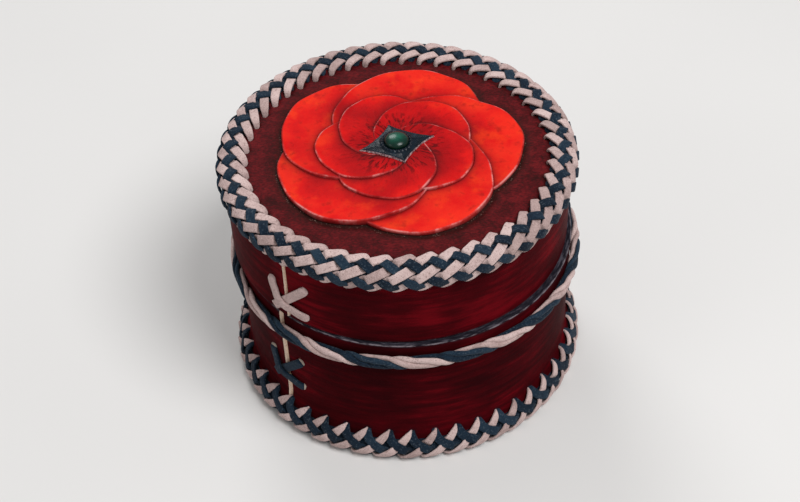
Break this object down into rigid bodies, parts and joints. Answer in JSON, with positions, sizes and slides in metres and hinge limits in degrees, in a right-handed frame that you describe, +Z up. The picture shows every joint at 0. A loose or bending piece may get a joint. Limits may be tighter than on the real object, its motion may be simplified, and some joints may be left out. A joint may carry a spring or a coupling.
{
  "type": "jewelry box",
  "caption": "Round leather jewelry box with a lift-off lid, two-tone woven edge lacing, a twisted cord under the rim, and a relief flower with a set stone on the lid.",
  "frame": {"origin": "middle of the box's outline on the surface that it stands on", "axes": "+Z up along the box's axis, -Y towards the side that the picture shows, +X to that side's right"},
  "size_m": [0.1162, 0.1162, 0.0845],
  "materials": {
    "burgundy_leather": "satin, dyed and waxed",
    "dark_leather": "satin, dyed and waxed",
    "red_leather": "satin, dyed and tooled",
    "navy_leather": "glossy",
    "raw_leather": "undyed, matt",
    "beige_lace": "suede, matt",
    "navy_lace": "suede, matt",
    "suede_lining": "suede, matt",
    "green_stone": "polished, opaque"
  },
  "bodies": {
    "base": {"base_wall": "burgundy_leather", "base_floor": "dark_leather", "base_lining": "suede_lining", "base_lace_beige": "beige_lace", "base_lace_navy": "navy_lace", "base_cross_stitch": "navy_lace", "cord_beige": "beige_lace", "cord_navy": "navy_lace"},
    "lid": {"lid_wall": "burgundy_leather", "lid_top": "dark_leather", "lid_lip": "raw_leather", "lid_packing": "raw_leather", "lid_lining": "suede_lining", "lid_lace_beige": "beige_lace", "lid_lace_navy": "navy_lace", "lid_cross_stitch": "beige_lace", "petals_outer": "red_leather", "petals_inner": "red_leather", "stone_mount": "navy_leather", "stone": "green_stone"}
  },
  "joints": [
    {"name": "lid_lift", "type": "slide", "parent": "base", "child": "lid", "axis": [0, 0, 1], "range_m": [0, 0.08]}
  ]
}
